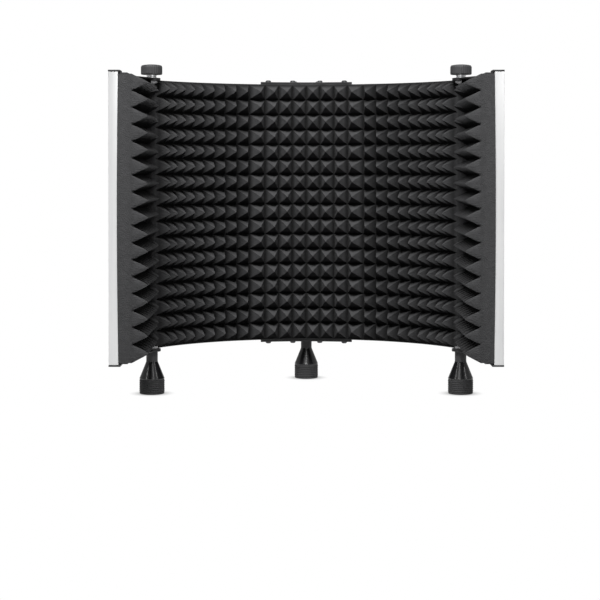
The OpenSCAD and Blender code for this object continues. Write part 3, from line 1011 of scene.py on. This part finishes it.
def threaded_rod(bm, low, high):
    """An M8 rod along Z with the ridges of a rolled thread, broken at both ends."""
    length = high.z - low.z
    turns = int(length / M8_PITCH)
    step = length / turns
    root, tip = M8_R * 0.87, M8_R * 0.8
    profile = [(0, -length / 2), (tip, -length / 2)]
    for i in range(turns):
        z = -length / 2 + length * i / turns
        profile += [(root, z + step * 0.15), (M8_R, z + step * 0.45)]
        profile += [(M8_R, z + step * 0.6), (root, z + step * 0.9)]
    profile += [(tip, length / 2), (0, length / 2)]
    lathe(bm, profile, (low + high) / 2, UP, 40)


def make_nuts():
    kinds = (("plate_nuts", "m4_nuts", 7 * MM, M4_R), ("hinge_nuts", "m8_nuts", 13 * MM, M8_BORE_R))
    for node, name, across, bore in kinds:
        def build(bm):
            for low, high in islands(node):
                hex_nut(bm, low, high, across, bore)
        piece = solid(name, build, 25)
        finish_piece(piece, "shield", DULL_AND_SHADED_ZINC, node)


def make_studs():
    rods = [(side + "_knob_bolt", side + "_clamp_knob") for side in SIDES]
    rods += [(foot + "_foot_stud", foot + "_foot") for foot in (*SIDES, "rear")]
    for node, body in rods:
        low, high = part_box(node)
        piece = solid(node + "_thread", lambda bm: threaded_rod(bm, low, high), 25)
        finish_piece(piece, body, DULL_AND_SHADED_ZINC, node)


def foot_of(low, high):
    """The middle of the underside of a box."""
    return Vector(((low.x + high.x) / 2, (low.y + high.y) / 2, low.z))


def collar(bm, low, high):
    """A plain ring with a groove turned round it."""
    wide, groove, height = 6 * MM, 5.3 * MM, high.z - low.z
    profile = rounded([
        (M8_R, 0), (wide, 0), (wide, 1.5 * MM), (groove, 1.7 * MM), (groove, 2.1 * MM),
        (wide, 2.3 * MM), (wide, height), (M8_R, height), (M8_R, 0.01 * MM)], 0.25 * MM)
    lathe(bm, [*profile, profile[0]], foot_of(low, high), UP, 56)


def make_collars():
    for side in SIDES:
        low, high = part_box(side + "_knob_collar")
        piece = solid(side + "_collar", lambda bm: collar(bm, low, high), 30)
        finish_piece(piece, side + "_clamp_knob", BRIGHT, side + "_knob_collar")


make_nuts()
make_studs()
make_collars()

# ------------------------------
# Edge strips. A hollow extrusion of satin-anodised aluminium down the free edge of each wing,
# with faint draw lines along it, and a moulded black cap pushed into each end.
# ------------------------------
def aluminium_material():
    material, tree, shader = new_material("satin_aluminium", Metallic=0.55)
    lines = use_group(tree, TOOL_LINES, Line_Scale=900.0, Stretch=0.015, Drift_Scale=16.0)
    base = blend_colours(tree, lines.outputs["Tone"], (0.78, 0.785, 0.79), (0.92, 0.92, 0.92))
    rubbed = layer(tree, base, (0.97, 0.97, 0.97), WORN, Amount=0.3, Break_Scale=400.0)
    link_surface(tree, shader, rubbed, lines, (0.34, 0.5), (0.10, 0.0002))
    return material


ALUMINIUM = aluminium_material()


def moulded_material(name, dark, light, rough, grain):
    """Moulded plastic or rubber with a fine spark-eroded grain, its roughness from low to high."""
    material, tree, shader = new_material(name)
    coat = use_group(tree, POWDER, Grain_Scale=grain, Drift_Scale=40.0)
    base = blend_colours(tree, coat.outputs["Tone"], dark, light)
    rubbed = layer(tree, base, (0.14, 0.14, 0.14), WORN, Amount=0.35, Break_Scale=420.0)
    dusty = layer(tree, rubbed, (0.2, 0.2, 0.2), DUST, Amount=0.12, Patch_Scale=60.0)
    link_surface(tree, shader, dusty, coat, rough, (0.3, 0.0003))
    return material


CAP_PLASTIC = moulded_material(
    "cap_plastic", (0.010, 0.010, 0.011), (0.022, 0.022, 0.023), rough=(0.42, 0.58), grain=1500.0
)
STRIP_EDGE = 0.35 * MM
CAP_EDGE = 0.4 * MM


def make_edges():
    for side in SIDES:
        piece = broken_edges(side + "_edge_strip", side + "_strip_profile", STRIP_EDGE, 3)
        finish_piece(piece, side + "_wing", ALUMINIUM, side + "_edge_strip")
        for end in ("top", "bottom"):
            node = f"{side}_{end}_cap"
            piece = broken_edges(node, node + "_moulding", CAP_EDGE, 3)
            finish_piece(piece, side + "_wing", CAP_PLASTIC, node)


make_edges()

# ------------------------------
# Clamp knobs. Moulded in dark grey plastic with shallow grip flutes round the side, a soft
# shoulder and a slightly crowned top with a turned ring sunk in it.
# ------------------------------
KNOB_PLASTIC = moulded_material(
    "knob_plastic", (0.040, 0.040, 0.042), (0.075, 0.075, 0.078), rough=(0.5, 0.66), grain=1300.0
)
FLUTES = 30
FLUTE_DEPTH = 0.32 * MM


def knob(bm, base, up, radius, height, bore):
    """A fluted knob standing on base along up."""
    def flute(a, r, h):
        if r < radius * 0.93 or not 0.7 * MM < h < height - 1.6 * MM:
            return r
        return r - FLUTE_DEPTH * (0.5 - 0.5 * math.cos(a * FLUTES)) ** 2
    side = rounded([
        (bore, 0.6 * MM), (bore, 0), (radius * 0.66, 0), (radius * 0.7, 0), (radius - 0.6 * MM, 0),
        (radius, 0.9 * MM), (radius, height * 0.5), (radius, height - 3.0 * MM),
        (radius - 1.1 * MM, height - 1.35 * MM)], 1.2 * MM, 5)
    crown = [
        (radius * 0.80, height - 0.95 * MM), (radius * 0.66, height - 0.62 * MM),
        (radius * 0.63, height - 0.85 * MM), (radius * 0.58, height - 0.80 * MM),
        (radius * 0.55, height - 0.42 * MM), (radius * 0.3, height - 0.12 * MM), (0, height)]
    lathe(bm, side + crown, base, up, FLUTES * 8, flute)


def make_knobs():
    for side in SIDES:
        low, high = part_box(side + "_knob")
        base, radius, height = foot_of(low, high), (high.x - low.x) / 2, high.z - low.z
        name = side + "_thumb_knob"
        piece = solid(name, lambda bm: knob(bm, base, UP, radius, height, M8_R), 32)
        finish_piece(piece, side + "_clamp_knob", KNOB_PLASTIC, side + "_knob")


make_knobs()

# ------------------------------
# Feet. A black moulding, satin on its stem and glossy on its cone, screwed on a stud, over a
# soft rubber pad with rings moulded round it and a rounded sole.
# ------------------------------
FOOT_R = 15 * MM
STEM_R = 6.85 * MM
CONE_HEIGHT = 20.6 * MM
PAD_RINGS = 6


def gloss_material():
    material, tree, shader = new_material("foot_gloss", Coat_Weight=0.35, Coat_Roughness=0.08)
    coat = use_group(tree, POWDER, Grain_Scale=1200.0, Drift_Scale=50.0)
    base = blend_colours(tree, coat.outputs["Tone"], (0.008, 0.008, 0.009), (0.016, 0.016, 0.017))
    dusty = layer(tree, base, (0.15, 0.15, 0.15), DUST, Amount=0.08, Patch_Scale=80.0)
    link_surface(tree, shader, dusty, coat, (0.16, 0.30), (0.05, 0.0002))
    return material


GLOSS = gloss_material()
STEM_PLASTIC = moulded_material(
    "stem_plastic", (0.045, 0.045, 0.047), (0.080, 0.080, 0.083), rough=(0.5, 0.64), grain=1200.0
)
RUBBER = moulded_material(
    "pad_rubber", (0.036, 0.036, 0.037), (0.062, 0.062, 0.064), rough=(0.68, 0.85), grain=900.0
)


def foot_moulding(bm, base, pad, top):
    """Stem and cone over the pad. base is on the floor, and the heights are counted from it."""
    shoulder = pad + CONE_HEIGHT
    outside = rounded([
        (6 * MM, pad), (FOOT_R - 0.4 * MM, pad), (FOOT_R, pad + 0.8 * MM),
        (FOOT_R - 0.5 * MM, pad + 1.9 * MM), (STEM_R + 0.4 * MM, shoulder - 0.8 * MM),
        (STEM_R, shoulder + 0.6 * MM), (STEM_R, top - 0.6 * MM), (STEM_R - 0.5 * MM, top),
        (M8_BORE_R, top)], 2.0 * MM, 6)
    inside = [(M8_BORE_R, pad + 8 * MM), (3 * MM, pad + 6 * MM), (3 * MM, pad)]
    lathe(bm, [*outside, *inside, outside[0]], base, UP, 72)


def rubber_pad(bm, base, pad):
    """A rounded sole, rings up the side, and a plain rim under the cone."""
    first, last = 2.4 * MM, pad - 1.4 * MM
    pitch = (last - first) / PAD_RINGS
    profile = [
        (0, 0), (FOOT_R - 2.0 * MM, 0), (FOOT_R - 0.9 * MM, 0.3 * MM), (FOOT_R - 0.3 * MM, 1.0 * MM),
        (FOOT_R - 0.1 * MM, 1.9 * MM)]
    for i in range(PAD_RINGS):
        z = first + pitch * i
        profile += [
            (FOOT_R - 0.55 * MM, z), (FOOT_R - 0.5 * MM, z + pitch * 0.14), (FOOT_R, z + pitch * 0.32),
            (FOOT_R, z + pitch * 0.76), (FOOT_R - 0.5 * MM, z + pitch * 0.94)]
    profile += [
        (FOOT_R - 0.55 * MM, last), (FOOT_R - 0.2 * MM, last + 0.4 * MM), (FOOT_R - 0.4 * MM, pad),
        (0, pad)]
    lathe(bm, profile, base, UP, 72)


def make_feet():
    for foot in (*SIDES, "rear"):
        low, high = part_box(foot + "_foot_pad")
        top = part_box(foot + "_foot_cone")[1].z
        base, pad = foot_of(low, high), high.z - low.z
        piece = solid(foot + "_foot_moulding", lambda bm: foot_moulding(bm, base, pad, top), 30)
        finish_piece(piece, foot + "_foot", GLOSS, foot + "_foot_cone")
        piece.data.materials.append(STEM_PLASTIC)
        for polygon in piece.data.polygons:
            if polygon.center.z > pad + CONE_HEIGHT:
                polygon.material_index = 1
        piece = solid(foot + "_ribbed_pad", lambda bm: rubber_pad(bm, base, pad), 50)
        finish_piece(piece, foot + "_foot", RUBBER, foot + "_foot_pad")


make_feet()

# ------------------------------
# Stand mount. A cast carriage, coated black, slides in the spine's slot. A flat-headed bolt and
# a knob with a washer clamp it, and a plated bush in its boss takes the stand's thread.
# ------------------------------
BUSH_R = 10 * MM
SOCKET_R = 7.45 * MM
SOCKET_PITCH = 0.94 * MM
BACKWARD = Vector((0, 1, 0))


def thread_bush(bm, low, high):
    """A plated bush with the ridges of a fine thread down its bore."""
    length = high.z - low.z
    turns = int(length / SOCKET_PITCH)
    lead_in, root = SOCKET_R + 0.4 * MM, SOCKET_R + 0.45 * MM
    profile = [(BUSH_R, 0), (BUSH_R, length), (lead_in, length)]
    for i in range(turns):
        z = length - length * (i + 0.5) / turns
        profile += [(SOCKET_R, z + SOCKET_PITCH * 0.2), (root, z - SOCKET_PITCH * 0.3)]
    profile += [(lead_in, 0), (BUSH_R, 0)]
    lathe(bm, profile, foot_of(low, high), UP, 56)


def front_of(low, high):
    """The middle of the front of a box."""
    return Vector(((low.x + high.x) / 2, low.y, (low.z + high.z) / 2))


def flat_bolt(bm, low, high):
    """A bolt along +Y: a thin round head, then a threaded shank."""
    length, head, wide = high.y - low.y, 2.6 * MM, (high.x - low.x) / 2
    profile = [(0, 0), (wide - 0.8 * MM, 0), (wide, 0.8 * MM), (wide, head), (M8_R, head)]
    turns = int((length - head) / M8_PITCH)
    for i in range(turns):
        z = head + (length - head) * (i + 0.5) / turns
        profile += [(3.5 * MM, z), (M8_R, z + 0.5 * MM)]
    profile += [(3.2 * MM, length), (0, length)]
    lathe(bm, profile, front_of(low, high), BACKWARD, 40)


def make_stand_mount():
    piece = broken_edges("stand_carriage", "cast_carriage", 0.9 * MM, 3)
    finish_piece(piece, "stand_mount", COATED, "stand_carriage")
    low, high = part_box("stand_thread_bush")
    piece = solid("stand_socket_bush", lambda bm: thread_bush(bm, low, high), 25)
    finish_piece(piece, "stand_mount", DULL_AND_SHADED_ZINC, "stand_thread_bush")
    low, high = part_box("height_bolt")
    piece = solid("slot_bolt", lambda bm: flat_bolt(bm, low, high), 25)
    finish_piece(piece, "stand_mount", DULL_AND_SHADED_ZINC, "height_bolt")
    piece = broken_edges("height_washer", "clamp_washer", 0.2 * MM)
    finish_piece(piece, "stand_mount", BRIGHT, "height_washer")
    low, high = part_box("height_knob")
    base, radius, height = front_of(low, high), (high.x - low.x) / 2, high.y - low.y
    name = "height_thumb_knob"
    piece = solid(name, lambda bm: knob(bm, base, BACKWARD, radius, height, M8_BORE_R), 32)
    finish_piece(piece, "height_clamp", KNOB_PLASTIC, "height_knob")


make_stand_mount()
